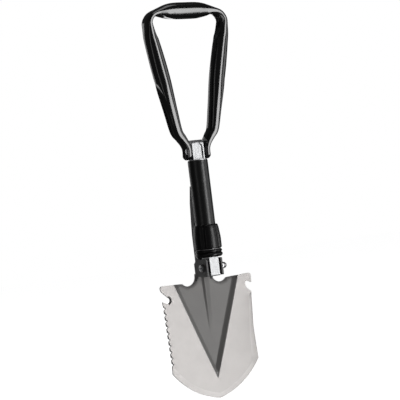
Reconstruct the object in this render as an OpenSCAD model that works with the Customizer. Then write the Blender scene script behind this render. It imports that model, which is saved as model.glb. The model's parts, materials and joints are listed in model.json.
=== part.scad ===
// Folding camp shovel with a pick: saw-edged blade, screwed locking collar and a folding D handle.
// The blade points down, the handle up, and the concave face of the blade looks towards -Y.
// The origin is on the shaft's centre line, in the middle of its bare stretch.

/* [Blade] */
// Width across the straight edges
blade_w = 105; // [90:1:126]
// Length from the shoulders to the point
blade_len = 125; // [104:1:150]
// Thickness of the blade sheet
sheet_t = 1.8; // [1.4:0.1:2.4]
// Height of the two ground edges that meet at the point
point_h = 33.7; // [28:0.1:41]
// Radius of each ground edge
point_r = 87; // [75:1:120]
// Number of saw teeth gullets on the left edge
saw_count = 10; // [6:1:12]
// Spacing of the saw teeth
saw_pitch = 6.5; // [5.4:0.1:7]
// Depth of a saw gullet
saw_depth = 2.4; // [1.6:0.1:3]

/* [Recess] */
// Width of the pressed recess at the shoulders
recess_w = 77; // [64:1:93]
// Length of the pressed recess
recess_len = 103; // [86:1:110]
// Width of its sloping wall
recess_wall = 4.7; // [3.9:0.1:5.6]
// Extra depth of its middle crease
crease_d = 1.2; // [0.6:0.1:1.5]

/* [Hinge] */
// Width of the tongue between the ears
tongue_w = 10.6; // [8.8:0.1:11.4]
// How far the tongue reaches in front of the hinge pin
tongue_front = 8.8; // [7.4:0.1:9]
// How far the tongue reaches below the hinge pin
tongue_drop = 9.3; // [8:0.1:10.6]
// Space between the tongue and each ear
ear_gap = 2.5; // [2.1:0.1:3]
// Thickness of an ear
ear_t = 2.2; // [1.8:0.1:2.6]
// Distance from the hinge pin to each locking flat
ear_flat = 9; // [7.5:0.1:10.8]
// Radius of the ears' rounded corners above the flats
ear_round = 1; // [0.8:0.1:1.2]
// Diameter of the hinge bolt
bolt_d = 4; // [3.3:0.1:4.8]
// Diameter of the bolt's pan head
bolt_head_d = 8; // [7:0.1:9.5]
// Distance across the dome nut's flats
nut_w = 7; // [6:0.1:8.4]
// Height of the dome nut
nut_h = 8.2; // [6.8:0.1:9.8]

/* [Shaft] */
// Outer diameter of the tube
tube_d = 21; // [17.5:0.1:25.2]
// Wall of the tube
tube_wall = 1.2; // [1:0.1:1.5]
// Length of the tube
tube_len = 99.4; // [83:0.1:120]
// Wall of the threaded sleeve
sleeve_wall = 1.2; // [1:0.1:1.5]
// Length of the threaded sleeve
sleeve_len = 26; // [22:0.5:28]
// Pitch of the thread
thread_pitch = 3; // [2.5:0.1:3.6]

/* [Collar] */
// Height of the locking collar
collar_h = 25; // [24:0.1:30]
// Wall of the collar over the sleeve
collar_wall = 2.65; // [2.2:0.05:3.1]
// Number of flutes
flute_count = 5; // [4:1:8]
// Radius of a flute
flute_r = 4.5; // [3.8:0.1:5.4]
// Depth of a flute
flute_depth = 1.3; // [0.8:0.1:1.5]
// Height of the pressure ring
ring_h = 7.9; // [6.6:0.1:9.4]
// How far the collar screws up to free the blade
collar_lift = 8; // [6:0.5:9]

/* [Pick] */
// Height of the pick's point above the hinge pin
pick_len = 86; // [72:1:100]
// Width of the pick
pick_w = 9.6; // [9:0.1:11.5]
// Depth of the pick
pick_depth = 7.4; // [6.2:0.1:8.8]
// Thickness of the pick's sheet
pick_t = 1.5; // [1.2:0.1:1.8]
// Diameter of the pick's pin
pick_pin_d = 3; // [2.5:0.1:3.6]

/* [Handle] */
// Height of the handle above its pin
handle_h = 154; // [136:1:170]
// Width of the handle
handle_w = 96.4; // [84:1:112]
// Diameter of the grip tube
grip_d = 17.5; // [15:0.1:20]
// Wall of the grip tube
grip_wall = 1.2; // [1:0.1:1.5]
// Half the thickness of the flattened corners
corner_t = 2.9; // [2.6:0.1:3.4]
// Height of the handle pin above the tube
pivot_h = 10.4; // [9.4:0.1:12.4]
// Diameter of the handle pin
pivot_d = 5; // [4.2:0.1:6]
// Width of the yoke
yoke_w = 13.6; // [11.4:0.1:14]
// Height of the yoke above the tube
yoke_h = 21.6; // [18:0.1:25.9]
// Forward lean of the handle as it is stored
handle_lean = 4; // [0:0.5:8]

/* [Hidden] */
$fn = 64;

// Clearances
run_gap = 0.06;    // a pin turning in its bore
side_gap = 0.4;    // faces that pass each other
over = 1;          // how far a cut runs past the face it cuts

// Shaft, from the hinge pin upwards
tube_r = tube_d / 2;
bore_r = tube_r - tube_wall;
sleeve_r = tube_r + sleeve_wall;
ear_r = ear_flat + ear_round;
ring_z = ear_r + 0.5;
shoulder_t = 1;
tube_z = ear_r + 1 + shoulder_t;
tube_top = tube_z + tube_len;
plug_len = 24;
collar_r = sleeve_r + collar_wall;
collar_z = ring_z + ring_h + 2 * side_gap;
collar_top_r = tube_r + 2.4;
collar_top_z = collar_z + collar_h;
ring_r = collar_r;
lip_t = 3;
insert_t = 0.6;
insert_h = sleeve_len - collar_lift - over;
rivet_r = 2;
rivet_z = tube_z + plug_len * 0.7;
// the origin lies midway between the collar and the top of the tube
hinge_z = -(collar_top_z + tube_top) / 2;

// Blade, in the hinge pin's frame
blade_y = tube_r + 1.5;
floor_y = ring_r + 0.65;
recess_d = floor_y - blade_y;
shoulder_z = -13;
point_z = shoulder_z - blade_len;
corner_z = point_z + point_h;
half_w = blade_w / 2;
ear_out = tongue_w / 2 + ear_gap + ear_t;
ear_in = ear_out - ear_t;
neck_z = -6;
ear_fillet = 4;
scallop_r = 9.5;
scallop_x = ear_out + scallop_r;
recess_tip_z = shoulder_z - 1.5 - recess_len;
recess_slope = recess_w / 2 / recess_len;
wall_slope = recess_wall / recess_d;

// Tongue
tongue_back = 6.5;
spacer_r = tongue_back - 0.7;
nut_washer_t = 0.8;

// Pick pivot
pick_y = ring_r + 0.85;
pivot_y = pick_y + 1.8;
pivot_z = 2.2;
eye_r = 3.5;
lug_w = pick_w - 2 * (pick_t + side_gap);

// Handle pivot and the leg's double-walled end
handle_z = tube_top + pivot_h;
flange_t = 1;
web_in = yoke_w / 2 + side_gap + 0.05;
end_t = 3.15;
end_x = web_in + end_t;
web_out = web_in + 2 * grip_wall;
end_r = pivot_h - flange_t - side_gap;
pin_r = pivot_d / 2;
washer_t = 0.6;
washer_r = pin_r + 1.4;

module at_hinge() translate([0, 0, hinge_z]) children();
module at_pivot() translate([0, 0, hinge_z + handle_z]) rotate([handle_lean, 0, 0]) children();
// a flat shape given in X and Z, from y forwards to y + t
module upright(y, t) translate([0, y + t, 0]) rotate([90, 0, 0]) linear_extrude(height = t) children();
// a flat shape given in Y and Z, from x to x + t
module sideways(x, t) translate([x, 0, 0]) rotate([90, 0, 90]) linear_extrude(height = t) children();
// a round bar along X
module bar_x(r, x0, x1) translate([x0, 0, 0]) rotate([0, 90, 0]) cylinder(r = r, h = x1 - x0);
module both_sides() for (s = [0, 1]) mirror([s, 0, 0]) children();

// ---- Blade ----

// points of the ground edge, from the corner to the point
function edge_arc(n) =
    let (a = [half_w, corner_z], b = [0, point_z], d = norm(b - a), u = (b - a) / d,
         c = (a + b) / 2 + [u[1], -u[0]] * sqrt(point_r * point_r - d * d / 4),
         a0 = atan2(a[1] - c[1], a[0] - c[0]), a1 = atan2(b[1] - c[1], b[0] - c[0]))
    [for (i = [0:n]) c + point_r * [cos(a0 + (a1 - a0) * i / n), sin(a0 + (a1 - a0) * i / n)]];

// shoulder and side on the right, from the neck down to the corner
function right_side() = [[ear_out, neck_z], [ear_out, shoulder_z - 2], [half_w, shoulder_z + 0.3],
    [half_w + 2.6, shoulder_z - 4], [half_w + 2.6, shoulder_z - 9], [half_w + 0.6, shoulder_z - 21],
    [half_w - 1.2, shoulder_z - 55]];
// the left side runs a little wider, because the teeth are cut into it
function left_side() = [[-half_w, corner_z + 2.5], [-half_w - 1.8, shoulder_z - 20],
    [-half_w - 1.8, shoulder_z - 15], [-half_w - 3, shoulder_z - 3.4], [-half_w, shoulder_z + 0.3],
    [-ear_out, shoulder_z - 2], [-ear_out, neck_z]];

module saw_gullets() {
    for (i = [0:saw_count - 1])
        translate([-half_w - 1.4 + i * 0.22, shoulder_z - 23.4 - i * saw_pitch])
            polygon([[saw_depth, 0], [-over, saw_pitch * 0.36], [-over, -saw_pitch * 0.4]]);
}

// hook notch on the left, open towards the edge, with a prong below it
module left_notch() {
    translate([-half_w + 4.7, shoulder_z - 15.4]) circle(r = 3.2);
    polygon([[-half_w - 1.1, shoulder_z - 6.6], [-half_w + 6.6, shoulder_z - 12.9],
        [-half_w + 4.6, shoulder_z - 18.6], [-half_w - 1.8, shoulder_z - 16.8],
        [-half_w - 6, shoulder_z - 14], [-half_w - 6, shoulder_z - 6.6]]);
}

// notch on the right, with its hook above it
module right_notch() {
    translate([half_w - 3.3, shoulder_z - 10.6]) circle(r = 2.5);
    polygon([[half_w + 1.4, shoulder_z - 9.8], [half_w - 2.6, shoulder_z - 8.2], [half_w - 5.4, shoulder_z - 12],
        [half_w + 0.8, shoulder_z - 19.6], [half_w + 6, shoulder_z - 21], [half_w + 6, shoulder_z - 9.8]]);
}

module blade_outline() {
    arc = edge_arc(18);
    left_arc = [for (i = [17:-1:0]) [-arc[i][0], arc[i][1]]];
    difference() {
        polygon(concat(right_side(), arc, left_arc, left_side()));
        for (s = [-1, 1]) translate([s * scallop_x, -8]) circle(r = scallop_r);
        saw_gullets();
        left_notch();
        right_notch();
    }
}

// solid below the plane of the recess walls moved outwards by off, between y = ya and the floor at y = yb
module recess_solid(ya, yb, off) {
    top = neck_z + over;
    function half(y, z) = (z - recess_tip_z) * recess_slope + off - (y - blade_y) * wall_slope;
    function tip(y) = recess_tip_z - (off - (y - blade_y) * wall_slope) / recess_slope;
    polyhedron(
        points = [[-half(ya, top), ya, top], [half(ya, top), ya, top], [half(yb, top), yb, top],
            [0, yb + crease_d, top], [-half(yb, top), yb, top], [0, ya, tip(ya)], [0, yb, tip(yb)]],
        faces = [[0, 4, 3, 2, 1], [0, 1, 5], [1, 2, 6, 5], [0, 5, 6, 4], [2, 3, 6], [3, 4, 6]]);
}

// one ear seen from the side, in Y and Z: square to the ring, and curved down into the sheet at the back
module ear_profile() {
    back_y = floor_y + sheet_t;
    intersection() {
        circle(r = ear_r);
        square([2 * ear_flat, 2 * ear_flat], center = true);
    }
    translate([0, -ear_flat]) square([back_y, ear_flat * 1.5]);
    polygon([[0, 0], [0, ear_flat], [ear_flat, ear_flat], [back_y, ear_flat / 2]]);
    difference() {
        translate([floor_y - ear_fillet, -ear_flat - ear_fillet]) square([ear_fillet + sheet_t, ear_fillet + over]);
        translate([floor_y - ear_fillet, -ear_flat - ear_fillet]) circle(r = ear_fillet);
    }
}

// the sheet with its pressed recess, before the ears are added
module blade_sheet() {
    skin = sheet_t * tan(atan(recess_d / recess_wall) / 2);
    difference() {
        intersection() {
            upright(blade_y, floor_y) blade_outline();
            union() {
                translate([-blade_w, blade_y, point_z - over])
                    cube([2 * blade_w, sheet_t, neck_z - point_z + 2 * over]);
                recess_solid(blade_y + sheet_t / 3, floor_y + sheet_t, skin + sheet_t * wall_slope);
            }
        }
        recess_solid(blade_y - over / 2, floor_y, 0);
    }
}

module blade() color([0.78, 0.78, 0.77]) at_hinge() difference() {
    union() {
        blade_sheet();
        both_sides() sideways(ear_in, ear_t) ear_profile();
    }
    bar_x(bolt_d / 2, -ear_out - over, ear_out + over);
}

// ---- Blade hinge ----

module hinge_bolt() color([0.75, 0.75, 0.76]) at_hinge() {
    head_h = 2.6;
    difference() {
        union() {
            bar_x(bolt_d / 2, -ear_out, ear_out + nut_h - 3);
            translate([-ear_out - head_h, 0, 0]) rotate([0, 90, 0]) rotate_extrude()
                polygon([[0, 0], [bolt_head_d * 0.32, 0], [bolt_head_d * 0.45, 0.6],
                    [bolt_head_d / 2, 1.5], [bolt_head_d / 2, head_h], [0, head_h]]);
        }
        for (a = [0, 90]) rotate([a, 0, 0])
            translate([-ear_out - head_h - over, -0.55, -bolt_head_d / 4]) cube([over + 1.1, 1.1, bolt_head_d / 2]);
    }
}

module nut_washer() color([0.6, 0.6, 0.6]) at_hinge() difference() {
    bar_x(nut_w * 0.62, ear_out, ear_out + nut_washer_t);
    bar_x(bolt_d / 2, ear_out - over, ear_out + over + 1);
}

module dome_nut() color([0.85, 0.85, 0.86]) at_hinge() translate([ear_out + nut_washer_t, 0, 0]) difference() {
    union() {
        rotate([0, 90, 0]) cylinder(d = nut_w / cos(30), h = 3, $fn = 6);
        rotate([0, 90, 0]) rotate_extrude()
            polygon([[0, 0], [nut_w / 2, 0], [nut_w / 2, nut_h * 0.55], [nut_w * 0.44, nut_h * 0.76],
                [nut_w * 0.28, nut_h * 0.93], [0, nut_h]]);
    }
    bar_x(bolt_d / 2, -over, nut_h - 3.8);
}

module hinge_spacers() color([0.1, 0.1, 0.1]) at_hinge() both_sides() difference() {
    bar_x(spacer_r, tongue_w / 2 + side_gap, ear_in);
    bar_x(bolt_d / 2, 0, ear_out);
}

module hinge_block() color([0.86, 0.87, 0.88]) at_hinge() difference() {
    union() {
        translate([0, 0, tube_z - over]) cylinder(r = bore_r, h = plug_len + over);
        translate([0, 0, tube_z - shoulder_t]) cylinder(r = tube_r, h = shoulder_t);
        sideways(-tongue_w / 2, tongue_w)
            polygon([[-tongue_front + over, -tongue_drop], [tongue_back - over, -tongue_drop],
                [tongue_back, -tongue_drop + over], [tongue_back, tube_z - shoulder_t / 2],
                [-tongue_front, tube_z - shoulder_t / 2], [-tongue_front, -tongue_drop + over]]);
        // lug that reaches back to the pick's pin
        sideways(-lug_w / 2, lug_w) {
            translate([pivot_y, pivot_z]) circle(r = eye_r);
            translate([0, pivot_z - eye_r]) square([pivot_y, 2 * eye_r]);
        }
    }
    bar_x(bolt_d / 2 + run_gap, -tongue_w, tongue_w);
    translate([0, pivot_y, pivot_z]) bar_x(pick_pin_d / 2, -pick_w, pick_w);
    translate([0, 0, rivet_z]) bar_x(rivet_r, -tube_r, tube_r);
}

// ---- Pick ----

// half of the pick's width at a height, from its root to the point
module pick_outline(inset) {
    w = pick_w / 2 - inset;
    z0 = pivot_z;
    polygon([[-w, z0], [w, z0], [w, pick_len * 0.4], [w * 0.84, pick_len * 0.57], [w * 0.56, pick_len * 0.8],
        [0.3, pick_len - inset * 5], [-0.3, pick_len - inset * 5], [-w * 0.56, pick_len * 0.8],
        [-w * 0.84, pick_len * 0.57], [-w, pick_len * 0.4]]);
}

module pick() color([0.3, 0.3, 0.3]) at_hinge() difference() {
    union() {
        upright(pick_y, pick_depth) pick_outline(0);
        translate([0, pivot_y, pivot_z]) bar_x(eye_r, -pick_w / 2, pick_w / 2);
    }
    // the channel faces the shaft and is open at the root, round the lug
    upright(pick_y - 4 * over, pick_depth + 4 * over - pick_t) union() {
        pick_outline(pick_t);
        translate([-pick_w / 2 + pick_t, pivot_z - 2 * eye_r]) square([pick_w - 2 * pick_t, 2.1 * eye_r]);
    }
    translate([0, pivot_y, pivot_z]) bar_x(eye_r + side_gap, -pick_w / 2 + pick_t, pick_w / 2 - pick_t);
    translate([0, pivot_y, pivot_z]) bar_x(pick_pin_d / 2 + run_gap, -pick_w, pick_w);
}

module pick_pin() color([0.8, 0.8, 0.8]) at_hinge() translate([0, pivot_y, pivot_z])
    bar_x(pick_pin_d / 2, -pick_w / 2 - 0.5, pick_w / 2 + 0.5);

// ---- Shaft ----

module shaft_tube() color([0.08, 0.08, 0.08]) at_hinge() difference() {
    translate([0, 0, tube_z]) cylinder(r = tube_r, h = tube_len);
    translate([0, 0, tube_z - over]) cylinder(r = bore_r, h = tube_len + 2 * over);
    translate([0, 0, rivet_z]) bar_x(rivet_r, -tube_d, tube_d);
}

module threaded_sleeve() color([0.7, 0.7, 0.7]) at_hinge() difference() {
    translate([0, 0, tube_z]) cylinder(r = sleeve_r, h = sleeve_len);
    translate([0, 0, tube_z - over]) cylinder(r = tube_r, h = sleeve_len + 2 * over);
    for (z = [tube_z + thread_pitch / 2 : thread_pitch : tube_z + sleeve_len - thread_pitch / 2])
        translate([0, 0, z]) rotate_extrude()
            polygon([[sleeve_r - sleeve_wall / 2, 0], [sleeve_r + over, -thread_pitch * 0.35],
                [sleeve_r + over, thread_pitch * 0.35]]);
    translate([0, 0, rivet_z]) bar_x(rivet_r, -tube_d, tube_d);
}

module block_rivet() color([0.6, 0.6, 0.6]) at_hinge() translate([0, 0, rivet_z]) {
    reach = tube_r + sleeve_wall / 4;
    bar_x(rivet_r, -reach, reach);
}

// ---- Collar ----

module locking_collar() color([0.06, 0.06, 0.06]) at_hinge() translate([0, 0, collar_z]) difference() {
    rotate_extrude() polygon([[sleeve_r + run_gap + insert_t, 0], [collar_r - 0.8, 0], [collar_r, 0.8],
        [collar_r, collar_h * 0.45], [collar_top_r + 0.4, collar_h * 0.86], [collar_top_r - 0.8, collar_h],
        [tube_r + side_gap, collar_h], [tube_r + side_gap, collar_h - lip_t],
        [sleeve_r + run_gap + insert_t, collar_h - lip_t]]);
    for (i = [0:flute_count - 1]) rotate(8 + i * 360 / flute_count)
        translate([collar_r + flute_r - flute_depth, 0, -over]) cylinder(r = flute_r, h = collar_h + 2 * over);
}

module collar_insert() color([0.72, 0.6, 0.3]) at_hinge() translate([0, 0, collar_z + 0.8]) difference() {
    cylinder(r = sleeve_r + run_gap + insert_t, h = insert_h);
    translate([0, 0, -over]) cylinder(r = sleeve_r + run_gap, h = insert_h + 2 * over);
}

module pressure_ring() color([0.07, 0.07, 0.07]) at_hinge() translate([0, 0, ring_z]) {
    bead = ring_h * 0.27;
    rotate_extrude() difference() {
        union() {
            translate([sleeve_r + side_gap, 0]) square([ring_r - sleeve_r - side_gap - bead * 0.5, ring_h]);
            translate([ring_r - bead, ring_h * 0.32]) circle(r = bead);
            translate([ring_r - bead * 0.8, ring_h * 0.8]) circle(r = bead * 0.7);
        }
        square([sleeve_r + side_gap, ring_h]);
    }
}

module slip_washer() color([0.85, 0.85, 0.8]) at_hinge() translate([0, 0, ring_z + ring_h]) difference() {
    cylinder(r = ring_r - 1.2, h = side_gap);
    translate([0, 0, -over]) cylinder(r = sleeve_r + side_gap, h = 3 * over);
}

// ---- Handle ----

module handle_yoke() color([0.9, 0.9, 0.9]) at_hinge() translate([0, 0, tube_top]) difference() {
    plug = 18;
    depth = 10;
    front = -4.4;
    top_r = 4;
    rim = 1.4;
    hollow_r = yoke_w / 2 - rim;
    union() {
        translate([0, 0, -plug]) cylinder(r = bore_r, h = plug + flange_t / 2);
        cylinder(r = tube_r - 0.3, h = flange_t);
        sideways(-yoke_w / 2, yoke_w) translate([front, 0]) {
            square([depth, yoke_h - top_r]);
            translate([top_r, 0]) square([depth - top_r, yoke_h]);
            translate([top_r, yoke_h - top_r]) circle(r = top_r);
        }
    }
    // the folded sheet leaves a round-topped hollow in front
    upright(front - over, over + 1.6) {
        translate([-hollow_r, flange_t + 0.6]) square([2 * hollow_r, yoke_h - yoke_w / 2 - 2]);
        translate([0, yoke_h - hollow_r - 2 * rim]) circle(r = hollow_r);
    }
    translate([0, 0, pivot_h]) bar_x(pin_r + run_gap, -yoke_w, yoke_w);
}

// Stations of the bent tube from the middle of the grip to the end of the right leg:
// x, height, half thickness in the handle's plane, half depth, and how far the wall is pressed open
// (1 is a channel open outwards, -1 a channel open inwards, 0 a round tube).
g = grip_d / 2;
hw = handle_w / 2;
knee = [end_x + 10.8, 22];
hip = [hw - 7.6, handle_h - 42];
function leg(t) = knee + (hip - knee) * t;
STATIONS = [
    [0, handle_h - g, g, g, 0],
    [hw * 0.3, handle_h - g, g * 0.97, g, 0],
    [hw * 0.5, handle_h - g - 0.3, g * 0.78, g, 0],
    [hw * 0.69, handle_h - g - 0.8, corner_t * 1.25, g * 1.04, -0.5],
    [hw * 0.84, handle_h - 12.2, corner_t, g * 1.05, -1],
    [hw - 3.3, handle_h - 18.6, corner_t, g * 1.05, -1],
    [hw - 3, handle_h - 26, corner_t * 1.1, g * 1.04, -0.8],
    [hw - 5, handle_h - 34, g * 0.62, g * 1.02, -0.1],
    [hip[0], hip[1], g * 0.9, g, 0],
    [leg(0.7)[0], leg(0.7)[1], g, g, 0],
    [leg(0.48)[0], leg(0.48)[1], g * 0.9, g, 0.1],
    [leg(0.26)[0], leg(0.26)[1], g * 0.73, g * 0.97, 0.7],
    [knee[0], knee[1], g * 0.59, g * 0.93, 1],
    [end_x + 6.2, 14.6, g * 0.5, g * 0.9, 1],
    [end_x + 2, 8, g * 0.41, g * 0.87, 1],
    [end_x, 2, end_t, g * 0.86, 1],
    [end_x, -5, end_t, g * 0.86, 1],
    [end_x, -end_r, end_t, g * 0.86, 1]];

function mirrored(r) = [-r[0], r[1], r[2], r[3], r[4]];
function whole(rows) = concat([for (i = [len(rows) - 1:-1:1]) mirrored(rows[i])], rows);
// a smooth curve through the stations
function smooth(p, q, r, s, t) =
    (2 * q + (r - p) * t + (2 * p - 5 * q + 4 * r - s) * t * t + (3 * q - p - 3 * r + s) * t * t * t) / 2;
function refined(rows, n) = let (m = len(rows) - 1) concat(
    [for (i = [0:m - 1], k = [0:n - 1])
        smooth(rows[max(i - 1, 0)], rows[i], rows[i + 1], rows[min(i + 2, m)], k / n)], [rows[m]]);
function rounded(v) = pow(abs(v), 0.88);

// One side of the oval, seen from the middle of its wall: k steps from one lip to the other. It is
// either the standing wall of a pressed stretch or the wall that is pressed in against it.
function standing(r, o, c, s) = [r[2] * (rounded(c) * (1 + o) - o), r[3] * rounded(s) * sign(s)];
function pressed(r, o, c, s) = [r[2] * rounded(c) * (1 - o) + o * (r[2] - (2 * r[2] - 2 * grip_wall) * rounded(c)),
    (r[3] - 2 * grip_wall * o) * rounded(s) * sign(s)];
function outer_wall(r, c, s) = r[4] > 0 ? pressed(r, r[4], c, s) : standing(r, -r[4], c, s);
function inner_wall(r, c, s) = let (v = r[4] > 0 ? standing(r, r[4], c, s) : pressed(r, -r[4], c, s)) [-v[0], v[1]];

// sweeps the pressed oval along the stations as one closed skin
module bent_tube(n, half_count) {
    rows = refined(whole(STATIONS), n);
    m = len(rows) - 1;
    h = half_count;
    sides = 2 * h;
    function at(i) = [rows[i][0], rows[i][1]];
    function normal(i) = let (t = at(min(i + 1, m)) - at(max(i - 1, 0))) [-t[1], t[0]] / norm(t);
    function place(i, v) = let (q = at(i) + normal(i) * v[0]) [q[0], v[1], q[1]];
    angles = [for (k = [0:h - 1]) -81 + 162 * k / (h - 1)];
    points = [for (i = [0:m]) each concat(
        [for (a = angles) place(i, outer_wall(rows[i], cos(a), sin(a)))],
        [for (a = angles) place(i, inner_wall(rows[i], cos(a), -sin(a)))])];
    // each end is closed by a strip between its two walls
    function strip(base, flip) = [for (k = [0:h - 2])
        let (q = [base + k, base + k + 1, base + sides - 2 - k, base + sides - 1 - k])
        flip ? [q[3], q[2], q[1], q[0]] : q];
    faces = concat(
        strip(0, false), strip(m * sides, true),
        [for (i = [0:m - 1], k = [0:sides - 1]) let (a = i * sides + k, b = i * sides + (k + 1) % sides)
            each [[a, a + sides, b], [b, a + sides, b + sides]]]);
    polyhedron(points = points, faces = faces);
}

// the round stretches of the tube are hollow
module tube_hollows() {
    r = g - 1.4 * grip_wall;
    tilt = atan2(hip[0] - knee[0], hip[1] - knee[1]);
    translate([0, 0, handle_h - g]) bar_x(g - grip_wall, -hw * 0.32, hw * 0.32);
    both_sides() translate([leg(0.5)[0], 0, leg(0.5)[1]]) rotate([0, tilt, 0])
        cylinder(r = r, h = norm(hip - knee) * 0.45);
}

module handle_frame() color([0.05, 0.05, 0.05]) at_pivot() difference() {
    bent_tube(2, 9);
    tube_hollows();
    both_sides() {
        bar_x(pin_r, web_in - over, web_out + over);
        bar_x(washer_r + side_gap, web_out, end_x + 2 * end_t);
        // the leg's end is rounded about the pin, and clears the rim of the tube as it turns
        difference() {
            translate([0, -grip_d, -grip_d]) cube([end_x + 2 * end_t, 2 * grip_d, grip_d]);
            bar_x(end_r, -over, 2 * end_x);
        }
        difference() {
            translate([0, -grip_d, -over]) cube([tube_r + side_gap, 2 * grip_d, knee[1]]);
            bar_x(end_r, -over, 2 * end_x);
        }
    }
}

module handle_pin() color([0.75, 0.75, 0.76]) at_pivot() {
    tip = web_out + washer_t;
    bar_x(pin_r, -tip, tip + 1);
    translate([-tip - 2, 0, 0]) rotate([0, 90, 0]) rotate_extrude()
        polygon([[0, 0], [washer_r * 0.6, 0.3], [washer_r * 0.9, 1], [washer_r, 1.7], [washer_r, 2], [0, 2]]);
}

module pin_cap() color([0.75, 0.75, 0.76]) at_pivot() translate([web_out + washer_t, 0, 0]) difference() {
    rotate([0, 90, 0]) rotate_extrude()
        polygon([[0, 0], [washer_r, 0], [washer_r, 0.3], [washer_r * 0.9, 1], [washer_r * 0.6, 1.7], [0, 2]]);
    bar_x(pin_r, -over, 1);
}

module handle_washers() color([0.55, 0.55, 0.55]) at_pivot() both_sides() difference() {
    bar_x(washer_r, web_out, web_out + washer_t);
    bar_x(pin_r, web_out - over, web_out + washer_t + over);
}

blade();
hinge_bolt();
dome_nut();
nut_washer();
hinge_spacers();
hinge_block();
pick();
pick_pin();
shaft_tube();
threaded_sleeve();
block_rivet();
locking_collar();
collar_insert();
pressure_ring();
slip_washer();
handle_yoke();
handle_frame();
handle_pin();
pin_cap();
handle_washers();
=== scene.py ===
# %% [markdown]
# # A folding camp shovel
# The frame holds every working part at its real size and place. A lesson in Blender starts by loading it,
# because each visible piece takes its position from a part of that frame and rides on one of its moving
# bodies. Measuring the whole frame at once, before anything is added, gives the size that the finished
# shovel has to keep.

# %% Load the frame and measure it
import json
import math

import bmesh
import bpy
import numpy as np
from mathutils import Matrix, Vector
from mathutils.geometry import delaunay_2d_cdt

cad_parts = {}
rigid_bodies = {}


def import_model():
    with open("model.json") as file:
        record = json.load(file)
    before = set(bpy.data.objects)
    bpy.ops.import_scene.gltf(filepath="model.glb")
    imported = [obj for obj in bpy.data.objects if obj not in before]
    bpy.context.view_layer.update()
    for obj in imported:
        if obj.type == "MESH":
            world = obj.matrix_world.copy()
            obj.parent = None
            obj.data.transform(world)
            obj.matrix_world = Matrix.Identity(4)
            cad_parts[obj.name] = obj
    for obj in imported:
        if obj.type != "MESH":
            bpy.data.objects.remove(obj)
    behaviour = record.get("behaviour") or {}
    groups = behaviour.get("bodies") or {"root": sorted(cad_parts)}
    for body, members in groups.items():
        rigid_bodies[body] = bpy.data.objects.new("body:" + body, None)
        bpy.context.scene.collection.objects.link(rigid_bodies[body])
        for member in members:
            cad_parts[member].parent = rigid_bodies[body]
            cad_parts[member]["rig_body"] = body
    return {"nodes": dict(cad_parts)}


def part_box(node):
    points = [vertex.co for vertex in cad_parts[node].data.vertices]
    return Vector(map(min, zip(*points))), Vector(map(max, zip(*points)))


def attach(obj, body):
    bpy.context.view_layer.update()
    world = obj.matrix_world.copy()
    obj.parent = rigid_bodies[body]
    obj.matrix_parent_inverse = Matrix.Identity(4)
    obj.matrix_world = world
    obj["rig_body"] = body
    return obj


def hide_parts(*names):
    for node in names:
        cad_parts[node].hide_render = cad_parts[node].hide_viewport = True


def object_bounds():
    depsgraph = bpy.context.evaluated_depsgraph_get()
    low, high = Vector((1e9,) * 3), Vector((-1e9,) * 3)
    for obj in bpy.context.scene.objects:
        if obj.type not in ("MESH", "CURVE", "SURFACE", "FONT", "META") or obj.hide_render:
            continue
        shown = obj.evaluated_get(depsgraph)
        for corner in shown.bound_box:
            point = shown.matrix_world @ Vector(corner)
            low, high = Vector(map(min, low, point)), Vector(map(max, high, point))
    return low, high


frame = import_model()
low_before, high_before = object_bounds()
print("frame", [round(v * 1000, 1) for v in high_before - low_before], "mm")


# %% Find the hinge, the handle's pivot and the tube
def middle(node):
    low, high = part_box(node)
    return (low + high) / 2


HINGE = middle("hinge_bolt").z * 1000
PIVOT = middle("handle_pin").z * 1000
TUBE_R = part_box("shaft_tube")[1].x * 1000
HANDLE_H = 154.0
LEAN = math.radians(4)
print("hinge at", round(HINGE, 2), "pivot at", round(PIVOT, 2), "tube radius", round(TUBE_R, 2))


# %% Places in millimetres from the hinge and from the handle's pin
def from_hinge(x, y, z):
    return (x / 1000, y / 1000, (z + HINGE) / 1000)


def from_pivot(x, y, z):
    turned_y = y * math.cos(LEAN) - z * math.sin(LEAN)
    turned_z = y * math.sin(LEAN) + z * math.cos(LEAN)
    return (x / 1000, turned_y / 1000, (turned_z + PIVOT) / 1000)


print("handle top at", [round(v, 4) for v in from_pivot(0, 0, HANDLE_H)])


# %% Put an object into the scene
def placed(name, data):
    made = bpy.data.objects.new(name, data)
    bpy.context.scene.collection.objects.link(made)
    return made


print("scene helper ready")

# %% [markdown]
# ## Studio
# Glossy black tube only shows its shape through what it mirrors. A real studio gives it a tall soft box
# on one side and keeps the rest dim. Here tall area lights do the same, a dim grey world fills the
# shadows, and the backdrop that the lens sees is plain white, so the silhouette reads cleanly.

# %% Camera
camera_data = bpy.data.cameras.new("studio_camera")
camera_data.sensor_width = 36
camera_data.lens = 116.82
camera = placed("studio_camera", camera_data)
look = Vector((0.5, 0.866, 0)).normalized()
lens_up = Vector((0.1055, -0.0609, 0.9925))
lens_right = look.cross(lens_up).normalized()
lens_up = lens_right.cross(look)
turn = Matrix((lens_right, lens_up, -look)).transposed()
camera.matrix_world = Matrix.Translation((-0.6771, -1.1679, -0.0073)) @ turn.to_4x4()
camera_data.clip_start = 0.05
bpy.context.scene.camera = camera
bpy.context.scene.view_settings.view_transform = "Standard"
print("camera stands", round(camera.location.length, 3), "m away")


# %% Soft boxes
def soft_box(name, place, width, height, power, aim=(0, 0, 0)):
    data = bpy.data.lights.new(name, "AREA")
    data.shape = "RECTANGLE"
    data.size, data.size_y, data.energy = width, height, power
    lamp = placed(name, data)
    lamp.location = place
    lamp.rotation_euler = (Vector(aim) - Vector(place)).to_track_quat("-Z", "Y").to_euler()
    return lamp


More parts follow.
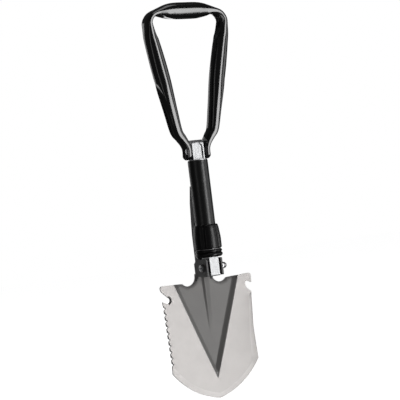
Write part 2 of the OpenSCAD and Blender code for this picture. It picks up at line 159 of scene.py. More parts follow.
soft_box("key_strip", (0.60, -1.23, -0.25), 0.42, 1.7, 8.8)
soft_box("left_fill", (-1.5, -0.75, 0.1), 0.3, 1.2, 0.5)
soft_box("right_fill", (1.30, -0.55, 0.0), 0.8, 1.2, 2.0)
soft_box("back_left", (-0.5, 1.5, 0.0), 0.6, 1.2, 1.6)
soft_box("back_right", (0.5, 1.5, 0.0), 0.6, 1.2, 2.4)
soft_box("overhead", (0.1, -0.2, 1.5), 0.9, 0.9, 2)

# %% World: white to the lens, dim grey to the shovel
world = bpy.data.worlds.new("studio_world")
bpy.context.scene.world = world
world.use_nodes = True
world_nodes, world_links = world.node_tree.nodes, world.node_tree.links
dim = world_nodes["Background"]
dim.inputs["Color"].default_value = (0.035, 0.035, 0.0357, 1)
seen = world_nodes.new("ShaderNodeBackground")
seen.inputs["Color"].default_value = (1, 1, 1, 1)
ray = world_nodes.new("ShaderNodeLightPath")
either = world_nodes.new("ShaderNodeMixShader")
world_links.new(ray.outputs["Is Camera Ray"], either.inputs["Fac"])
world_links.new(dim.outputs["Background"], either.inputs[1])
world_links.new(seen.outputs["Background"], either.inputs[2])
world_links.new(either.outputs["Shader"], world_nodes["World Output"].inputs["Surface"])
print("world ready")

# %% Pale floor under the point of the blade
floor_mesh = bpy.data.meshes.new("floor")
FLOOR_GAP, REACH = 0.012, 3.0
floor_z = low_before.z - FLOOR_GAP
corners = ((-REACH, -REACH), (REACH, -REACH), (REACH, REACH), (-REACH, REACH))
floor_mesh.from_pydata([(x, y, floor_z) for x, y in corners], [], [(0, 1, 2, 3)])
floor = placed("floor", floor_mesh)
floor_paint = bpy.data.materials.new("pale_floor")
floor_paint.use_nodes = True
paint = floor_paint.node_tree.nodes["Principled BSDF"]
paint.inputs["Base Color"].default_value = (0.9, 0.9, 0.9, 1)
paint.inputs["Roughness"].default_value = 0.9
paint.inputs["Specular IOR Level"].default_value = 0.1
paint.inputs["Emission Color"].default_value = (1, 1, 1, 1)
paint.inputs["Emission Strength"].default_value = 0.96
floor_mesh.materials.append(floor_paint)
floor.visible_glossy = False
floor.visible_diffuse = False
floor.visible_shadow = False
print("floor at", round(floor_z * 1000, 1), "mm")

# %% [markdown]
# ## Surface effects that several finishes share
# Steel, zinc and paint all show fine marks, and all of them wear bright or dull along their edges. Each
# effect is one node group with its own inputs, so that a finish only says how strong it is and how large
# its marks are. The groups read Object coordinates, which keep a mark in the same place on the part
# however the part folds.

# %% A small helper for node trees
def node_maker(tree):
    def make(kind, **sockets):
        node = tree.nodes.new(kind)
        for key, value in sockets.items():
            # i0, i1 and so on count the sockets, and any other key is a socket's name
            numbered = key[0] == "i" and key[1:].isdigit()
            socket = node.inputs[int(key[1:]) if numbered else key.replace("_", " ")]
            if isinstance(value, bpy.types.NodeSocket):
                tree.links.new(value, socket)
            else:
                socket.default_value = value
        return node
    return make


def math_node(make, operation, *values):
    node = make("ShaderNodeMath", **{f"i{i}": v for i, v in enumerate(values)})
    node.operation = operation
    return node.outputs[0]


print("helpers ready")


# %% Group: fine marks, stretched along one direction
def build_marks_group():
    tree = bpy.data.node_groups.new("fine_marks", "ShaderNodeTree")
    add = tree.interface.new_socket
    add("Size", in_out="INPUT", socket_type="NodeSocketFloat").default_value = 900
    add("Stretch", in_out="INPUT", socket_type="NodeSocketVector").default_value = (1, 1, 1)
    add("Blotch Size", in_out="INPUT", socket_type="NodeSocketFloat").default_value = 60
    add("Marks", in_out="OUTPUT", socket_type="NodeSocketFloat")
    add("Blotches", in_out="OUTPUT", socket_type="NodeSocketFloat")
    make = node_maker(tree)
    given, out = make("NodeGroupInput"), make("NodeGroupOutput")
    where = make("ShaderNodeTexCoord").outputs["Object"]
    scaled = make("ShaderNodeVectorMath", i0=where, i1=given.outputs["Stretch"])
    scaled.operation = "MULTIPLY"
    fine = make("ShaderNodeTexNoise", Vector=scaled.outputs[0], Scale=given.outputs["Size"],
                Detail=3, Roughness=0.65)
    blotch = make("ShaderNodeTexNoise", Vector=where, Scale=given.outputs["Blotch Size"],
                  Detail=2.5, Roughness=0.55)
    tree.links.new(fine.outputs["Fac"], out.inputs["Marks"])
    tree.links.new(blotch.outputs["Fac"], out.inputs["Blotches"])
    return tree


MARKS = build_marks_group()
print(MARKS.name, "has", len(MARKS.nodes), "nodes")


# %% Group: wear along edges
def build_wear_group():
    tree = bpy.data.node_groups.new("edge_wear", "ShaderNodeTree")
    add = tree.interface.new_socket
    add("Width", in_out="INPUT", socket_type="NodeSocketFloat").default_value = 0.0006
    add("Gain", in_out="INPUT", socket_type="NodeSocketFloat").default_value = 6
    add("Edge", in_out="OUTPUT", socket_type="NodeSocketFloat")
    make = node_maker(tree)
    given, out = make("NodeGroupInput"), make("NodeGroupOutput")
    rounded = make("ShaderNodeBevel", Radius=given.outputs["Width"])
    rounded.samples = 4
    facing = make("ShaderNodeNewGeometry").outputs["Normal"]
    dot = make("ShaderNodeVectorMath", i0=rounded.outputs["Normal"], i1=facing)
    dot.operation = "DOT_PRODUCT"
    bend = math_node(make, "SUBTRACT", 1.0, dot.outputs["Value"])
    where = make("ShaderNodeTexCoord").outputs["Object"]
    chips = make("ShaderNodeTexNoise", Vector=where, Scale=700, Detail=3).outputs["Fac"]
    broken = math_node(make, "MULTIPLY", math_node(make, "MULTIPLY", bend, given.outputs["Gain"]), chips)
    edge = math_node(make, "MINIMUM", broken, 1.0)
    tree.links.new(edge, out.inputs["Edge"])
    return tree


WEAR = build_wear_group()
print(WEAR.name, "has", len(WEAR.nodes), "nodes")

# %% [markdown]
# ## Finishes
# Every finish follows one pattern: a base colour that drifts a little with the blotches, a lighter or
# darker tone on worn edges, roughness that follows the marks, and a bump from the same marks. One
# function builds that pattern, so a finish is a short list of values. Numbers that are the same all over
# sit on the shader itself.

# %% The pattern behind every finish
def mix_colour(make, factor, first, second):
    node = make("ShaderNodeMix")
    node.data_type = "RGBA"
    for socket, value in ((node.inputs[0], factor), (node.inputs[6], first), (node.inputs[7], second)):
        if isinstance(value, bpy.types.NodeSocket):
            node.id_data.links.new(value, socket)
        else:
            socket.default_value = value
    return node.outputs[2]


def rgba(colour):
    return (*colour, 1)


def finish(name, light, dark, edge, metal, rough, marks, size, stretch=(1, 1, 1), blotch=60,
           wear=(0.0005, 5), bump=0.02, level=0.5, coat=0.0):
    material = bpy.data.materials.new(name)
    material.use_nodes = True
    tree = material.node_tree
    make = node_maker(tree)
    shader = tree.nodes["Principled BSDF"]
    fine = make("ShaderNodeGroup")
    fine.node_tree = MARKS
    fine.inputs["Size"].default_value = size
    fine.inputs["Stretch"].default_value = stretch
    fine.inputs["Blotch Size"].default_value = blotch
    worn = make("ShaderNodeGroup")
    worn.node_tree = WEAR
    worn.inputs["Width"].default_value, worn.inputs["Gain"].default_value = wear
    tone = mix_colour(make, fine.outputs["Blotches"], rgba(dark), rgba(light))
    colour = mix_colour(make, worn.outputs["Edge"], tone, rgba(edge))
    tree.links.new(colour, shader.inputs["Base Color"])
    spread = make("ShaderNodeMapRange", Value=fine.outputs["Marks"], From_Min=0.3, From_Max=0.7,
                  To_Min=rough - marks, To_Max=rough + marks)
    tree.links.new(spread.outputs["Result"], shader.inputs["Roughness"])
    relief = make("ShaderNodeBump", Height=fine.outputs["Marks"], Strength=bump, Distance=0.0004)
    tree.links.new(relief.outputs["Normal"], shader.inputs["Normal"])
    shader.inputs["Metallic"].default_value = metal
    shader.inputs["Specular IOR Level"].default_value = level
    shader.inputs["Coat Weight"].default_value = coat
    shader.inputs["Coat Roughness"].default_value = 0.13
    shader.inputs["Coat IOR"].default_value = 1.65
    return material


print("finish pattern ready")

# %% Steel and zinc
SATIN = finish("satin_stainless", (0.445, 0.428, 0.418), (0.385, 0.37, 0.362), (0.52, 0.51, 0.50),
               1, 0.42, 0.05, 1500, stretch=(1, 1, 0.12), blotch=55, bump=0.05)
GROUND = finish("ground_bevel", (0.53, 0.51, 0.50), (0.46, 0.445, 0.435), (0.62, 0.60, 0.59), 1, 0.45, 0.06,
                1300, stretch=(0.12, 1, 1), blotch=90, bump=0.08)
DARK = finish("dark_recess", (0.305, 0.297, 0.29), (0.255, 0.249, 0.244), (0.36, 0.355, 0.35),
              0.3, 0.50, 0.04, 1700, stretch=(1, 1, 0.2), blotch=45, bump=0.03)
# The ears are the same dull pressed steel as the recess. Their base colour is set darker than the recess's to
# paint the shade on their side faces. Their edge tone is much lighter, partly for wear and partly as a
# painted highlight along the edges.
EAR_PAINTED_SHADE_AND_SHEEN = finish("ear_steel_painted_shade_and_edge_sheen", (0.17, 0.17, 0.17), (0.135, 0.135, 0.136), (0.5, 0.5, 0.49), 0.3, 0.5, 0.06,
             1500, blotch=160, wear=(0.0006, 5), bump=0.05)
ZINC = finish("bright_zinc", (0.56, 0.565, 0.57), (0.49, 0.495, 0.505), (0.68, 0.68, 0.68), 1, 0.42, 0.05,
              900, stretch=(1, 1, 0.15), blotch=120, bump=0.03)
BOLT = finish("zinc_bolt", (0.80, 0.80, 0.81), (0.66, 0.665, 0.68), (0.9, 0.9, 0.9), 1, 0.36, 0.08,
              1600, blotch=400, bump=0.05)
CHROME = finish("plated_dome", (0.80, 0.80, 0.81), (0.72, 0.72, 0.74), (0.9, 0.9, 0.9), 1, 0.28, 0.03, 1400,
                blotch=300, bump=0.01)
print("metals ready")

# %% Paint, oxide and moulded black
GLOSS = finish("gloss_black_coat", (0.003, 0.003, 0.0032), (0.002, 0.002, 0.0021), (0.008, 0.008, 0.008),
               0, 0.17, 0.01, 420, blotch=45, wear=(0.0004, 2), bump=0.002, level=0.85, coat=1.0)
TUBE = finish("satin_black_coat", (0.006, 0.006, 0.0063), (0.004, 0.004, 0.0042), (0.014, 0.014, 0.014),
              0, 0.34, 0.05, 1300, stretch=(1, 1, 0.35), blotch=70, wear=(0.0004, 3), bump=0.05, level=1.0)
NYLON = finish("moulded_nylon", (0.005, 0.005, 0.0053), (0.0035, 0.0035, 0.0037), (0.014, 0.014, 0.0145),
               0, 0.3, 0.05, 1100, blotch=120, wear=(0.0005, 2), bump=0.05, level=0.6)
OXIDE = finish("oxide_steel", (0.10, 0.10, 0.10), (0.07, 0.07, 0.071), (0.22, 0.22, 0.22), 0.7, 0.42, 0.07,
               900, stretch=(1, 1, 0.3), blotch=110, bump=0.08)
WASHER = finish("grey_washer", (0.42, 0.42, 0.42), (0.33, 0.33, 0.33), (0.5, 0.5, 0.5), 0.4, 0.45, 0.05, 1200,
                blotch=300)
BRASS = finish("brass_insert", (0.62, 0.48, 0.22), (0.50, 0.38, 0.17), (0.75, 0.6, 0.3), 1, 0.32, 0.05, 1100,
               blotch=200)
THREAD = finish("dull_thread", (0.50, 0.50, 0.51), (0.38, 0.38, 0.39), (0.62, 0.62, 0.62), 1, 0.38, 0.06,
                1300, blotch=240)
print("blacks ready")

# %% [markdown]
# ## Building pieces
# A finished piece keeps its object at the origin and its place in its mesh, as the frame's own nodes do.
# One helper turns points and faces into such a piece and names the body it rides on. Others mend a mesh and
# round its edges.

# %% Make a piece that rides on a body
def piece(name, points, faces, body, finishes, stands_for=(), which=None, angle=30):
    mesh = bpy.data.meshes.new(name)
    mesh.from_pydata(points, [], faces)
    for material in finishes:
        mesh.materials.append(material)
    if which is not None:
        mesh.polygons.foreach_set("material_index", which)
    mesh.polygons.foreach_set("use_smooth", [True] * len(mesh.polygons))
    mesh.update()
    mesh.set_sharp_from_angle(angle=math.radians(angle))
    made = placed(name, mesh)
    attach(made, body)
    if stands_for:
        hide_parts(*stands_for)
    return made


def weighted(made):
    made.modifiers.new("even_normals", "WEIGHTED_NORMAL").keep_sharp = True
    return made


def edges_rounded(made, edge, segments, limit):
    rounding = made.modifiers.new("rounded_edges", "BEVEL")
    rounding.width, rounding.segments, rounding.limit_method = edge / 1000, segments, "ANGLE"
    rounding.angle_limit = math.radians(limit)
    return weighted(made)


def mend(mesh, merge=0.0, sliver=0.0):
    # join points that meet, drop slivers, and turn every face outwards
    bm = bmesh.new()
    bm.from_mesh(mesh)
    if merge:
        bmesh.ops.remove_doubles(bm, verts=bm.verts, dist=merge)
        bmesh.ops.dissolve_degenerate(bm, edges=bm.edges, dist=sliver)
    bmesh.ops.recalc_face_normals(bm, faces=bm.faces)
    bm.to_mesh(mesh)
    bm.free()


print("piece helpers ready")

# %% [markdown]
# ## The blade
# A real one is blanked from stainless sheet, pressed in a die so that a V-shaped recess stiffens it, and
# then ground along its edges. A single mesh can say all of that: a flat outline is filled with triangles
# whose edges follow the creases and grinding lines, and each point is then pushed back as far as the die
# or the wheel pushed the steel. Filling an outline keeps the margins truly flat, which a sculpted surface
# would not.

# %% Sizes of the blade
SHEET = 1.8
FRONT_Y = TUBE_R + 1.5
HALF_W, SHOULDER, POINT, CORNER = 52.5, -13.0, -138.0, -104.3
GRIND_R, RECESS_D, CREASE_D = 87.0, 3.0, 1.2
RECESS_TIP, RECESS_SLOPE, WALL_W = -117.5, 38.5 / 103, 4.7
NECK_X, NECK_Z = 10.0, -6.0
SCALLOP_R, SCALLOP_Z = 9.5, -8.0
SCALLOP_X = NECK_X + SCALLOP_R
HOOK_X, HOOK_Z, HOOK_R = -48.6, -28.4, 3.0
RIB_FOOT, RIB_RUN = -82, 66
KNIFE_TOP, INNER_RIGHT, INNER_LEFT = -34.4, 44.25, 49.6
print("blade", 2 * HALF_W, "mm wide and", SHOULDER - POINT, "mm long")


# %% Arcs and the ground curve to the point
def arc(cx, cz, r, start, end, count):
    return [(cx + r * math.cos(math.radians(start + (end - start) * i / count)),
             cz + r * math.sin(math.radians(start + (end - start) * i / count))) for i in range(count + 1)]


def curve_centre():
    ax, az, bx, bz = HALF_W, CORNER, 0.0, POINT
    d = math.hypot(bx - ax, bz - az)
    ux, uz = (bx - ax) / d, (bz - az) / d
    h = math.sqrt(GRIND_R ** 2 - d * d / 4)
    return (ax + bx) / 2 + uz * h, (az + bz) / 2 - ux * h


CURVE = curve_centre()


def ground_curve(r, x0, x1, count):
    xs = [x0 + (x1 - x0) * i / count for i in range(count + 1)]
    return [(x, CURVE[1] - math.sqrt(r * r - (x - CURVE[0]) ** 2)) for x in xs]


print("ground curve about", [round(v, 2) for v in CURVE])


# %% Outline, clockwise from the neck down the right side and up the left
def right_outline():
    return ([(NECK_X, NECK_Z), (NECK_X, SCALLOP_Z)]
            + arc(SCALLOP_X, SCALLOP_Z, SCALLOP_R, 180, 318, 26)[1:]
            + [(27.6, -14.1), (34.0, -13.7), (44.0, -13.15), (50.6, -12.75)]
            + arc(52.3, -15.6, 2.8, 84, 8, 8)
            + [(55.1, -18.5), (54.9, -21.4)] + arc(54.2, -22.4, 0.7, 20, -70, 5)
            + [(53.0, -22.2)] + arc(49.2, -23.6, 2.5, 62, 206, 16)
            + [(47.4, -26.6), (48.9, -28.9), (51.2, -30.9)] + arc(52.0, -33.4, 1.5, 70, 4, 6)
            + [(53.4, -36.0), (53.0, -44.0), (52.3, -54.0), (51.6, -64.0), (51.3, -70.0), (51.6, -80.0),
               (52.1, -92.0), (52.45, -102.0)]
            + ground_curve(GRIND_R, HALF_W, 0.0, 44))


TEETH = [(-53.9 + 0.22 * i, -36.4 - 6.5 * i) for i in range(10)]


def gullet(z, x):
    # the file cuts each gullet steeply on its upper side
    return [(x - 0.03, z + 1.75), (x + 1.15, z + 0.62), (x + 2.2, z + 0.05), (x + 1.0, z - 0.75),
            (x + 0.03, z - 1.75)]


def left_outline():
    climb = [(-HALF_W, -104.0), (-52.45, -101.6)]
    for x, z in reversed(TEETH):
        climb += list(reversed(gullet(z, x - 0.25)))
    return (climb + [(-54.35, -33.0), (-54.55, -30.2)] + arc(-53.9, -29.9, 0.6, 190, 90, 4)
            + [(-51.5, -30.9)] + arc(HOOK_X, HOOK_Z, HOOK_R, 232, 405, 20)
            + [(-48.9, -24.3), (-51.4, -21.9), (-53.4, -19.9), (-54.7, -18.3)]
            + arc(-52.85, -15.5, 2.6, 205, 98, 8)
            + [(-52.2, -12.85), (-45.0, -13.1), (-36.0, -13.6), (-27.6, -14.1)]
            + arc(-SCALLOP_X, SCALLOP_Z, SCALLOP_R, 222, 360, 26) + [(-NECK_X, NECK_Z)])


left_curve = [(-x, z) for x, z in reversed(ground_curve(GRIND_R, HALF_W, 0.0, 44)[:-1])]
OUTLINE = right_outline() + left_curve + left_outline()
print("outline has", len(OUTLINE), "points")


# %% How deep the die pressed the sheet
def rib_spread(z):
    return min(max((z - RIB_FOOT) / RIB_RUN, 0), 1)


def rib_size(z):
    return 0.25 + 0.75 * rib_spread(z)


def pressed_sharp(x, z):
    across = (z - RECESS_TIP) * RECESS_SLOPE - abs(x)
    wall = min(max(across / WALL_W, 0), 1) * RECESS_D
    foot = (z - RECESS_TIP) * RECESS_SLOPE - WALL_W
    tip = RECESS_TIP + WALL_W / RECESS_SLOPE
    if foot <= 0 or abs(x) >= foot:
        return wall
    # a low rib runs down the middle of the recess, steep on its left and easy on its right
    across_rib = x / rib_size(z)
    rib = 1.9 * rib_spread(z) * max(min((across_rib + 3.2) / 2.2, 1 - (across_rib + 1) / 6.5), 0)
    return wall + CREASE_D * (z - tip) / (NECK_Z + 1 - tip) * (1 - abs(x) / foot) - rib


def curl(x, z):
    # blanking leaves the top edge of the recess rolled a little backwards
    if z < -24 or abs(x) > 38:
        return 0
    edge = math.hypot(abs(x) - SCALLOP_X, z - SCALLOP_Z) - SCALLOP_R if abs(x) < 26.5 else -14 - z
    return 1.3 * max(1 - max(edge, 0) / 4.5, 0) ** 2


def pressed(x, z, bend=1.0):
    # the sheet bends over a small radius, not along a sharp line
    steps = (-1.0, -0.6, -0.2, 0.2, 0.6, 1.0)
    near = min(bend, 0.25 + 0.02 * max(z - RECESS_TIP, 0))
    return sum(pressed_sharp(x + s * near, z) for s in steps) / len(steps) + curl(x, z)


print("recess depth at the neck", round(pressed(0, -10), 2), "mm")


# %% How far the grinding wheel took the front back
def knife_inner(z):
    return np.interp(-z, [34.4, 35.2, 38, 60, 80, 96, 106], [53.5, 49.3, 48.9, 46.8, 44.9, 44.4, 44.2])


def knife_outer(z):
    return np.interp(-z, [33.4, 36, 44, 54, 64, 70, 80, 92, 105],
                     [53.5, 53.4, 53.0, 52.3, 51.6, 51.3, 51.6, 52.1, 52.5])


GRIND_W, LAND, POINT_LAND = 5.5, 0.6, 0.32
HOOK_GRIND, TOOTH_GRIND = 1.7, 0.8


def ground(x, z):
    side = CURVE[0] if x >= 0 else -CURVE[0]
    away = GRIND_R - math.hypot(x - side, z - CURVE[1])
    cut = POINT_LAND * min(max(1 - away / GRIND_W, 0), 1) if z < CORNER + 8 else 0
    if x > 40 and z < KNIFE_TOP:
        inner, outer = knife_inner(z), knife_outer(z)
        cut = max(cut, LAND * min(max((x - inner) / (outer - inner), 0), 1))
    for tooth_x, tooth_z in TEETH:
        along = z - tooth_z - 0.6
        if x < -48 and -0.9 < along < 2.4:
            depth = max(1 - (x - tooth_x - 0.5) / 1.0, 0) * max(1 - abs(along - 0.4) / 1.2, 0)
            cut = max(cut, TOOTH_GRIND * min(depth, 1))
    ring = math.hypot(x - HOOK_X, z - HOOK_Z) - HOOK_R
    if x > -51.8 and ring < HOOK_GRIND:
        bearing = math.degrees(math.atan2(z - HOOK_Z, x - HOOK_X))
        if -80 < bearing < 62:
            cut = max(cut, 1.1 * min(max(1 - ring / HOOK_GRIND, 0), 1))
    return cut


print("ground edge leaves", round(SHEET - LAND, 2), "mm of steel")


# %% Lines that the triangles follow
def crease_line(inset):
    # parallel to one side of the recess, from its tip up past the neck
    z_tip = RECESS_TIP + inset / RECESS_SLOPE
    zs = [z_tip + (NECK_Z - z_tip) * t / 26 for t in range(27)]
    return [((z - RECESS_TIP) * RECESS_SLOPE - inset, z) for z in zs]


LINES = []
for inset in (-1.0, -0.5, 0.0, 0.5, 1.0, WALL_W - 1, WALL_W - 0.5, WALL_W, WALL_W + 0.5, WALL_W + 1):
    right = crease_line(inset)
    LINES += [right, [(-x, z) for x, z in right]]
LINES += [[(s * w, -99.0 + 92.9 * t / 20) for t in range(21)] for w in (0.35, 1.0) for s in (-1, 1)]
LINES += [[(0.0, -104.0 + 97.9 * t / 20) for t in range(21)]]
LINES += [[(w * rib_size(z), z) for z in range(RIB_FOOT, -6, 4)]
          for w in (-3.9, -3.2, -2.1, -1.6, 2.2, 4.2, 5.5, 6.4)]
LINES += [arc(s * SCALLOP_X, SCALLOP_Z, r, 180, 360, 30) for r in (10.4, 11.4, 12.5, 13.5) for s in (-1, 1)]
LINES += [[(s * x, -14 - drop) for x in (28, 31, 34, 37)] for drop in (1, 2, 3, 4) for s in (-1, 1)]
LINES += [ground_curve(GRIND_R - GRIND_W, INNER_RIGHT, 0.0, 40)]
LINES += [[(-x, z) for x, z in ground_curve(GRIND_R - GRIND_W, INNER_LEFT, 0.0, 40)]]
knife_levels = (-34.5, -35.2, -38, -46, -54, -60, -68, -74, -80, -88, -96, -98.5)
LINES += [[(float(knife_inner(z)), z) for z in knife_levels]]
LINES += [arc(HOOK_X, HOOK_Z, 4.7, -80, 62, 22)]
LINES += [[(x + 0.5, z + 2.9), (x + 1.7, z + 2.2), (x + 2.5, z + 1.2), (x + 2.6, z + 0.3)] for x, z in TEETH]
LINES += [[(x + 0.5, z + 2.2), (x + 1.3, z + 1.4), (x + 1.9, z + 0.7)] for x, z in TEETH]
print(len(LINES), "crease and grinding lines")


# %% Fill the outline with triangles
def fill_outline():
    points, edges = [Vector(p) for p in OUTLINE], []
    count = len(points)
    edges += [(i, (i + 1) % count) for i in range(count)]
    for line in LINES:
        start = len(points)
        points += [Vector(p) for p in line]
        edges += [(start + i, start + i + 1) for i in range(len(line) - 1)]
    flat, _, tris, *_ = delaunay_2d_cdt(points, edges, [list(range(count))], 1, 1e-4, False)
    return [(p.x, p.y) for p in flat], [tuple(t) for t in tris]


def inside(x, z):
    hit = False
    for (ax, az), (bx, bz) in zip(OUTLINE, OUTLINE[1:] + OUTLINE[:1]):
        if (az > z) != (bz > z) and x < (bx - ax) * (z - az) / (bz - az) + ax:
            hit = not hit
    return hit


flat, tris = fill_outline()
tris = [t for t in tris if inside(sum(flat[i][0] for i in t) / 3, sum(flat[i][1] for i in t) / 3)]
print(len(flat), "points and", len(tris), "triangles across the blade")


# %% Which finish each triangle shows
def zone(t):
    x, z = (sum(flat[i][k] for i in t) / 3 for k in (0, 1))
    if abs(x) < (z - RECESS_TIP) * RECESS_SLOPE - 0.15:
        return 1
    return 2 if ground(x, z) > 0.02 else 0


# %% The sheet from its two faces and its cut edge
def sheet_mesh():
    front = [from_hinge(x, FRONT_Y + pressed(x, z) + ground(x, z), z) for x, z in flat]
    back = [from_hinge(x, FRONT_Y + pressed(x, z) + SHEET, z) for x, z in flat]
    n, faces, which, border = len(flat), [], [], {}
    for t in tris:
        a, b, c = (flat[i] for i in t)
        if (b[0] - a[0]) * (c[1] - a[1]) - (b[1] - a[1]) * (c[0] - a[0]) < 0:
            t = (t[0], t[2], t[1])
        faces += [t, tuple(i + n for i in reversed(t))]
        which += [zone(t), 1 if zone(t) == 1 else 0]
        for i, j in zip(t, t[1:] + t[:1]):
            border[(i, j)] = border.get((i, j), 0) + 1
    rim = [(i, j) for (i, j) in border if (j, i) not in border]
    faces += [(j, i, i + n, j + n) for i, j in rim]
    which += [3] * len(rim)
    return front + back, faces, which


points, faces, which = sheet_mesh()
blade = piece("blade_sheet", points, faces, "blade", [SATIN, DARK, GROUND, SATIN],
              stands_for=["blade"], which=which, angle=12)
weighted(blade)
print("blade sheet", len(faces), "faces")

# %% [markdown]
# ## The ears
# Two ears stand forward from the neck and grip the hinge bolt. Their square tops are the lock: the
# pressure ring comes down on them and nothing can turn. Each is a flat outline given its thickness, with
# its cut edges rounded a little by a bevel, as tumbling leaves them.

# %% A flat outline given thickness, with rounded edges
def plate(name, outline, low, high, body, material, edge):
    count = len(outline)
    points = [from_hinge(x, a, b) for x in (low, high) for a, b in outline]
    faces = [tuple(range(count - 1, -1, -1)), tuple(range(count, 2 * count))]
    faces += [(i, (i + 1) % count, count + (i + 1) % count, count + i) for i in range(count)]
    made = piece(name, points, faces, body, [material])
    mend(made.data)
    return edges_rounded(made, edge, 2, 40)


def ear_outline():
    back = FRONT_Y + RECESS_D + SHEET
    return (arc(-8.0, 8.0, 1.0, 180, 90, 4) + [(9.0, 9.0), (13.5, 6.9), (back - 0.2, 4.6)]
            + [(back - 0.2, -13.0), (15.4, -13.2)] + arc(11.0, -13.0, 4.0, 0, 90, 10)
            + arc(-8.0, -8.0, 1.0, 270, 180, 4))


EAR_IN, EAR_OUT = 7.8, NECK_X
for side, name in ((-1, "left_ear"), (1, "right_ear")):
    plate(name, ear_outline(), EAR_IN * side, EAR_OUT * side, "blade", EAR_PAINTED_SHADE_AND_SHEEN, 0.25)
print("ears ready")

# %% [markdown]
# ## The handle
# One length of steel tube makes the whole D. It is left round where a hand holds it. At the two upper
# corners the tube is pressed flat so that it can turn sharply, and its legs are pressed in from outside
# until each ends as a channel over the pin. A sweep along a path is the natural tool, but the section
# changes all the way, so here each station names its own section and a smooth curve runs through them.

# %% Stations: across, up, half thickness, half depth, and how far a die has pressed one wall
# A press of 1 leaves a channel. Positive presses come from outside the D and negative ones from inside it.
GRIP_R, TUBE_WALL, HANDLE_HALF = 8.75, 1.2, 48.2
END_X, END_T, END_R, WEB_OUT = 10.4, 3.15, 9.0, 9.65
KNEE, HIP = (END_X + 10.8, 22.0), (HANDLE_HALF - 7.6, HANDLE_H - 42)


def leg(t):
    return KNEE[0] + (HIP[0] - KNEE[0]) * t, KNEE[1] + (HIP[1] - KNEE[1]) * t


def stations():
    g, w, h, c = GRIP_R, HANDLE_HALF, HANDLE_H, 2.9
    return [(0, h - g, g, g, 0), (w * 0.3, h - g, g * 0.97, g, 0), (w * 0.5, h - g - 0.3, g * 0.78, g, -0.1),
            (w * 0.69, h - g - 0.8, c * 1.25, g * 1.04, -0.8), (w * 0.84, h - 12.2, c, g * 1.05, -1),
            (w - 3.3, h - 18.6, c * 1.05, g * 1.05, -1), (w - 3.7, h - 26, c * 1.45, g * 1.04, -0.75),
            (w - 5.2, h - 34, g * 0.7, g * 1.02, -0.3), (*HIP, g * 0.87, g, 0), (*leg(0.75), g * 0.97, g, 0),
            (*leg(0.57), g * 0.95, g, 0), (*leg(0.46), g * 0.88, g, 0.3),
            (*leg(0.35), g * 0.79, g * 0.98, 0.6), (*leg(0.22), g * 0.70, g * 0.96, 0.85),
            (*KNEE, g * 0.59, g * 0.93, 1), (END_X + 6.2, 14.6, g * 0.5, g * 0.9, 1),
            (END_X + 2, 8, g * 0.41, g * 0.87, 1), (END_X, 2, END_T, g * 0.86, 1),
            (END_X, -5, END_T, g * 0.86, 1), (END_X, -END_R, END_T, g * 0.86, 1)]


right_half = stations()
PATH = [(-s[0], *s[1:]) for s in reversed(right_half[1:])] + right_half
print(len(PATH), "stations round the handle")


# %% A smooth run through the stations
def smoothed(rows, steps):
    rows = np.array(rows, float)
    last = len(rows) - 1
    out = []
    for i in range(last):
        p, q, r, s = rows[max(i - 1, 0)], rows[i], rows[i + 1], rows[min(i + 2, last)]
        square, cube = 2 * p - 5 * q + 4 * r - s, 3 * q - p - 3 * r + s
        for k in range(steps):
            t = k / steps
            out.append((2 * q + (r - p) * t + square * t * t + cube * t ** 3) / 2)
            # the press runs straight from one station to the next, so that it never overshoots
            out[-1][4] = q[4] + (r[4] - q[4]) * t
    return np.array(out + [rows[last]])


run = smoothed(PATH, 9)
print("sweep has", len(run), "rings")


# %% Half of the section: a wall that stands, and between two lips the part that a die has pushed in
SIDE_COUNT, MIDDLE_COUNT = 14, 19


def half_wall(half_t, half_d, press, wrinkled=0):
    # the lips spread quickly at first, and the wall behind them squares up as the die goes deeper
    lip = math.radians(60 * press ** 0.38)
    power = 0.94 - 0.62 * press ** 0.8

    def standing(a):
        return half_t * abs(math.cos(a)) ** power, half_d * math.copysign(abs(math.sin(a)) ** power, a)

    steps = [k / (SIDE_COUNT - 1) for k in range(SIDE_COUNT)]
    first = [standing(-math.pi / 2 + (math.pi / 2 - lip) * t) for t in steps]
    last = [standing(lip + (math.pi / 2 - lip) * t) for t in steps]
    lip_u, lip_v = standing(lip)
    inner_v = lip_v - min(1.6 * TUBE_WALL * press, 0.3 * lip_v)
    dip = (half_t + lip_u - 2 * TUBE_WALL) * press ** 1.3
    pressed_part = []
    for k in range(MIDDLE_COUNT):
        b = math.radians(-86 + 172 * k / (MIDDLE_COUNT - 1))
        # pressing a corner leaves shallow wrinkles along its inner wall
        wrinkle = wrinkled * math.sin(13 * math.sin(b)) * math.cos(b)
        pressed_part.append((lip_u - dip * math.cos(b) ** 0.8 + wrinkle, inner_v * math.sin(b)))
    return first + pressed_part + last


def section(row):
    _, _, half_t, half_d, press = row
    outer = half_wall(half_t, half_d, max(press, 0))
    inner = half_wall(half_t, half_d, max(-press, 0), 0.3 * max(-press, 0))
    return outer + [(-u, -v) for u, v in inner]


print("one ring has", len(section(run[0])), "points")


# %% Where the pin passes, the wall is flat, and the end clears the tube's rim
def fitted(x, y, z):
    side = math.copysign(1, x)
    away = math.hypot(y, z)
    if away < 4.7 and abs(x) > 8.6:
        x = side * min(abs(x), WEB_OUT)
    if away > END_R and -2 < z < 16 and abs(x) < TUBE_R + 0.4:
        x = side * (TUBE_R + 0.4)
    return x, y, z


# the skin is a little slimmer than the solid it stands for, so that it stays inside
SLIMMER = np.array([1, 1, 0.99, 0.98, 1])


